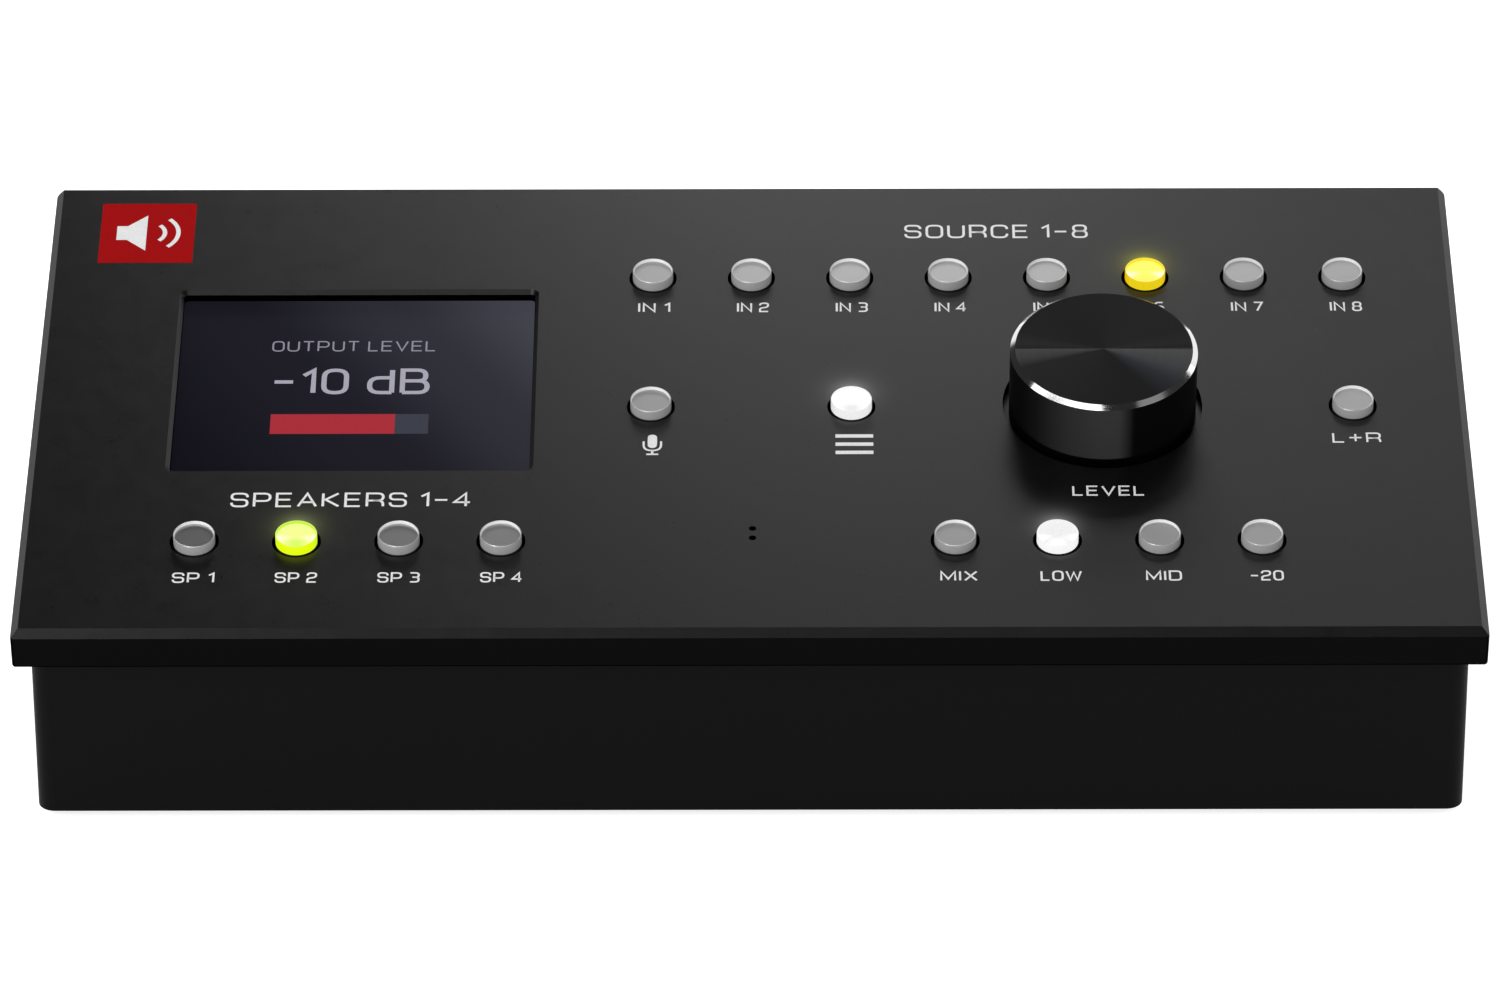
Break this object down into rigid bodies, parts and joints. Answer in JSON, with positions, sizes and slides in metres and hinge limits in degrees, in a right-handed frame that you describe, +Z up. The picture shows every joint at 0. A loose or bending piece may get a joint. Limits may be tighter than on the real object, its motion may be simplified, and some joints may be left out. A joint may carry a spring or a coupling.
{
  "type": "studio monitor controller",
  "caption": "Desktop studio monitor controller: a sloping black plate with a large volume knob, round lit keys and a display on a wedge housing with rubber feet.",
  "frame": {"origin": "on the desk, below the middle of the object's box", "axes": "+X to the user's right, +Y to the rear, +Z up; the plate slopes up to the rear by 10 degrees"},
  "size_m": [0.29, 0.1412, 0.0757],
  "materials": {
    "plate_anodised": "bead-blasted, black anodised",
    "housing_satin": "black satin powder coat",
    "base_steel": "black powder coat",
    "foot_rubber": "moulded rubber",
    "display_glass": "bonded cover glass over a dark screen",
    "foam": "closed-cell foam",
    "lcd_metal": "plain steel",
    "lcd_module": "display module",
    "flex_film": "polyimide film",
    "black_plastic": "moulded plastic",
    "circuit_board": "green solder mask",
    "chip_epoxy": "moulded epoxy",
    "lamp_white": "lamp package",
    "encoder_metal": "nickel-plated",
    "screw_steel": "zinc-plated",
    "screw_black": "black oxide",
    "socket_metal": "nickel-plated shell",
    "socket_plastic": "white insulator",
    "ribbon_grey": "grey ribbon cable",
    "knob_anodised": "turned, black anodised, bright bevel",
    "key_satin": "satin silver-grey, translucent when lit",
    "key_lit_yellow": "lit yellow cap",
    "key_lit_green": "lit yellow-green cap",
    "key_lit_white": "lit white cap"
  },
  "bodies": {
    "chassis": {"top_panel": "plate_anodised", "housing_shell": "housing_satin", "base_plate": "base_steel", "foot_front_left": "foot_rubber", "foot_front_right": "foot_rubber", "foot_rear_left": "foot_rubber", "foot_rear_right": "foot_rubber", "display_window": "display_glass", "window_gasket": "foam", "lcd_frame": "lcd_metal", "lcd_panel": "lcd_module", "display_pad": "foam", "display_flex": "flex_film", "flex_connector": "black_plastic", "control_board": "circuit_board", "driver_chips": "chip_epoxy", "key_switches": "black_plastic", "key_lamps": "lamp_white", "encoder_body": "encoder_metal", "encoder_washer": "screw_steel", "encoder_nut": "screw_steel", "microphone": "lcd_metal", "microphone_boot": "foot_rubber", "main_board": "circuit_board", "board_standoffs": "screw_steel", "processor_chip": "chip_epoxy", "usb_socket": "socket_metal", "usb_tongue": "socket_plastic", "main_header": "black_plastic", "control_header": "black_plastic", "ribbon_cable": "ribbon_grey", "base_screws": "screw_black", "panel_screws": "screw_steel", "control_board_screws": "screw_steel", "main_board_screws": "screw_steel"},
    "knob": {"volume_knob": "knob_anodised", "knob_set_screw": "screw_black", "encoder_shaft": "encoder_metal"},
    "input_key_1_body": {"input_key_1": "key_satin"},
    "input_key_2_body": {"input_key_2": "key_satin"},
    "input_key_3_body": {"input_key_3": "key_satin"},
    "input_key_4_body": {"input_key_4": "key_satin"},
    "input_key_5_body": {"input_key_5": "key_satin"},
    "input_key_6_body": {"input_key_6": "key_lit_yellow"},
    "input_key_7_body": {"input_key_7": "key_satin"},
    "input_key_8_body": {"input_key_8": "key_satin"},
    "output_key_1_body": {"output_key_1": "key_satin"},
    "output_key_2_body": {"output_key_2": "key_lit_green"},
    "output_key_3_body": {"output_key_3": "key_satin"},
    "output_key_4_body": {"output_key_4": "key_satin"},
    "talkback_key_body": {"talkback_key": "key_satin"},
    "menu_key_body": {"menu_key": "key_lit_white"},
    "mono_key_body": {"mono_key": "key_satin"},
    "sum_key_body": {"sum_key": "key_satin"},
    "sub_key_body": {"sub_key": "key_lit_white"},
    "mid_side_key_body": {"mid_side_key": "key_satin"},
    "dim_key_body": {"dim_key": "key_satin"}
  },
  "joints": [
    {"name": "volume_turn", "type": "hinge", "parent": "chassis", "child": "knob", "pos_m": [0.07125, -0.00232, 0.06327], "axis": [0, -0.1736, 0.9848], "continuous": true},
    {"name": "input_1_press", "type": "slide", "parent": "chassis", "child": "input_key_1_body", "axis": [0, 0.1736, -0.9848], "range_m": [0, 0.0008], "stiffness_N_per_m": 600},
    {"name": "input_2_press", "type": "slide", "parent": "chassis", "child": "input_key_2_body", "axis": [0, 0.1736, -0.9848], "range_m": [0, 0.0008], "stiffness_N_per_m": 600},
    {"name": "input_3_press", "type": "slide", "parent": "chassis", "child": "input_key_3_body", "axis": [0, 0.1736, -0.9848], "range_m": [0, 0.0008], "stiffness_N_per_m": 600},
    {"name": "input_4_press", "type": "slide", "parent": "chassis", "child": "input_key_4_body", "axis": [0, 0.1736, -0.9848], "range_m": [0, 0.0008], "stiffness_N_per_m": 600},
    {"name": "input_5_press", "type": "slide", "parent": "chassis", "child": "input_key_5_body", "axis": [0, 0.1736, -0.9848], "range_m": [0, 0.0008], "stiffness_N_per_m": 600},
    {"name": "input_6_press", "type": "slide", "parent": "chassis", "child": "input_key_6_body", "axis": [0, 0.1736, -0.9848], "range_m": [0, 0.0008], "stiffness_N_per_m": 600},
    {"name": "input_7_press", "type": "slide", "parent": "chassis", "child": "input_key_7_body", "axis": [0, 0.1736, -0.9848], "range_m": [0, 0.0008], "stiffness_N_per_m": 600},
    {"name": "input_8_press", "type": "slide", "parent": "chassis", "child": "input_key_8_body", "axis": [0, 0.1736, -0.9848], "range_m": [0, 0.0008], "stiffness_N_per_m": 600},
    {"name": "output_1_press", "type": "slide", "parent": "chassis", "child": "output_key_1_body", "axis": [0, 0.1736, -0.9848], "range_m": [0, 0.0008], "stiffness_N_per_m": 600},
    {"name": "output_2_press", "type": "slide", "parent": "chassis", "child": "output_key_2_body", "axis": [0, 0.1736, -0.9848], "range_m": [0, 0.0008], "stiffness_N_per_m": 600},
    {"name": "output_3_press", "type": "slide", "parent": "chassis", "child": "output_key_3_body", "axis": [0, 0.1736, -0.9848], "range_m": [0, 0.0008], "stiffness_N_per_m": 600},
    {"name": "output_4_press", "type": "slide", "parent": "chassis", "child": "output_key_4_body", "axis": [0, 0.1736, -0.9848], "range_m": [0, 0.0008], "stiffness_N_per_m": 600},
    {"name": "talkback_press", "type": "slide", "parent": "chassis", "child": "talkback_key_body", "axis": [0, 0.1736, -0.9848], "range_m": [0, 0.0008], "stiffness_N_per_m": 600},
    {"name": "menu_press", "type": "slide", "parent": "chassis", "child": "menu_key_body", "axis": [0, 0.1736, -0.9848], "range_m": [0, 0.0008], "stiffness_N_per_m": 600},
    {"name": "mono_press", "type": "slide", "parent": "chassis", "child": "mono_key_body", "axis": [0, 0.1736, -0.9848], "range_m": [0, 0.0008], "stiffness_N_per_m": 600},
    {"name": "sum_press", "type": "slide", "parent": "chassis", "child": "sum_key_body", "axis": [0, 0.1736, -0.9848], "range_m": [0, 0.0008], "stiffness_N_per_m": 600},
    {"name": "sub_press", "type": "slide", "parent": "chassis", "child": "sub_key_body", "axis": [0, 0.1736, -0.9848], "range_m": [0, 0.0008], "stiffness_N_per_m": 600},
    {"name": "mid_side_press", "type": "slide", "parent": "chassis", "child": "mid_side_key_body", "axis": [0, 0.1736, -0.9848], "range_m": [0, 0.0008], "stiffness_N_per_m": 600},
    {"name": "dim_press", "type": "slide", "parent": "chassis", "child": "dim_key_body", "axis": [0, 0.1736, -0.9848], "range_m": [0, 0.0008], "stiffness_N_per_m": 600}
  ]
}
